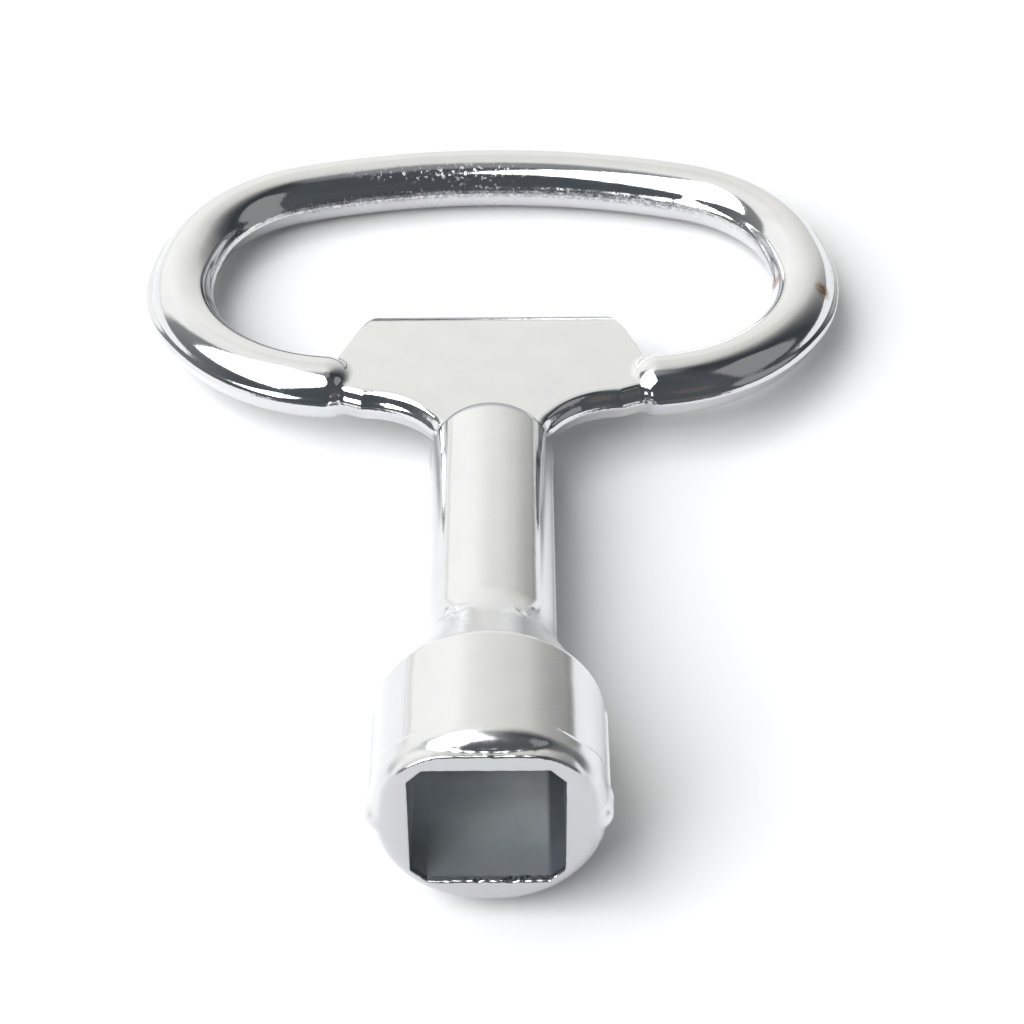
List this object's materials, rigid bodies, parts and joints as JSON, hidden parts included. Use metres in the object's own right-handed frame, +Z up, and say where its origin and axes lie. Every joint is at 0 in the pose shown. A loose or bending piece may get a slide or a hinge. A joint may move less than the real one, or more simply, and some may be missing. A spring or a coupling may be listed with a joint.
{
  "type": "radiator bleed key",
  "caption": "One-piece cast key with an oval finger bow, a flat web, a round shank and a cylindrical head with a blind 8 mm square socket.",
  "frame": {"origin": "under the middle of the key's length, on the surface that it lies on", "axes": "+Z up; +Y from the head to the bow, with the key's own axis dipping 4.6 degrees below it; +X across the bow"},
  "size_m": [0.0444, 0.0624, 0.0126],
  "materials": {
    "chrome_plate": "polished chrome plating on a zinc die casting, slightly wavy, with small specks and stains"
  },
  "bodies": {
    "root": {"socket_head": "chrome_plate", "shank": "chrome_plate", "bow_web": "chrome_plate", "bow_loop": "chrome_plate"}
  },
  "joints": []
}
